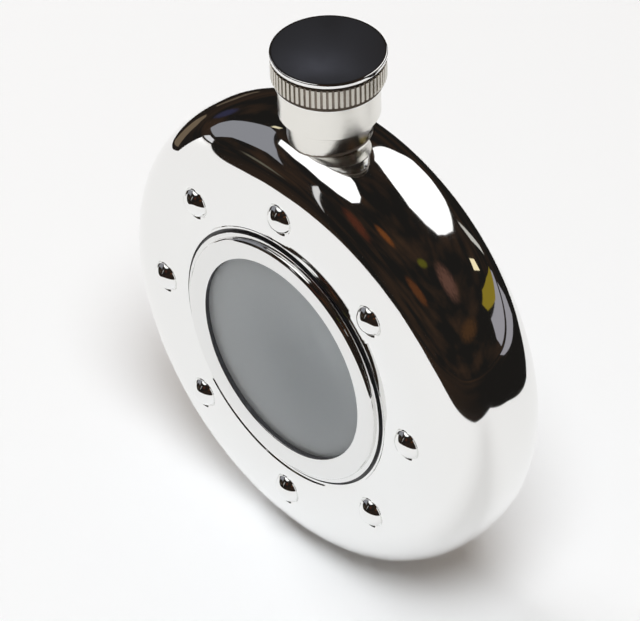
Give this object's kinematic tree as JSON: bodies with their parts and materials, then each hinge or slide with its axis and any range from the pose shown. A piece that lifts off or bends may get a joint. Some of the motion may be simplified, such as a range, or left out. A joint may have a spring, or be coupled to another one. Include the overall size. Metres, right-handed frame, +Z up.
{
  "type": "hip flask",
  "caption": "Round polished metal hip flask that stands on its rim, with a studded porthole window in each face and a knurled screw cap on a short neck.",
  "frame": {"origin": "middle of the flat on the rim that the flask stands on", "axes": "+Z up through the neck, +Y through the body towards the back window, so the front window faces -Y"},
  "size_m": [0.104, 0.032, 0.1214],
  "materials": {
    "polished_metal": "mirror polished",
    "window_glass": "clear, lightly hazed",
    "window_seal": "matte",
    "cap_seal": "matte"
  },
  "bodies": {
    "flask": {"front_shell": "polished_metal", "front_bezel": "polished_metal", "back_shell": "polished_metal", "back_bezel": "polished_metal", "front_stud_1": "polished_metal", "front_stud_2": "polished_metal", "front_stud_3": "polished_metal", "front_stud_4": "polished_metal", "front_stud_5": "polished_metal", "front_stud_6": "polished_metal", "front_stud_7": "polished_metal", "front_stud_8": "polished_metal", "back_stud_1": "polished_metal", "back_stud_2": "polished_metal", "back_stud_3": "polished_metal", "back_stud_4": "polished_metal", "back_stud_5": "polished_metal", "back_stud_6": "polished_metal", "back_stud_7": "polished_metal", "back_stud_8": "polished_metal", "neck_ring": "polished_metal", "neck_collar": "polished_metal", "front_glass": "window_glass", "front_window_gasket": "window_seal", "back_glass": "window_glass", "back_window_gasket": "window_seal"},
    "cap_seal": {"cap_liner": "cap_seal"},
    "cap": {"cap_crown": "polished_metal"}
  },
  "joints": [
    {"name": "cap_lift", "type": "slide", "parent": "flask", "child": "cap_seal", "axis": [0, 0, 1], "range_m": [0, 0.0053]},
    {"name": "cap_turn", "type": "hinge", "parent": "cap_seal", "child": "cap", "pos_m": [0, 0, 0.118], "axis": [0, 0, 1], "range_deg": [0, 1260]}
  ],
  "couplings": [
    {"joint": "cap_lift", "follows": "cap_turn", "m_per_rad": 0.00023873}
  ]
}
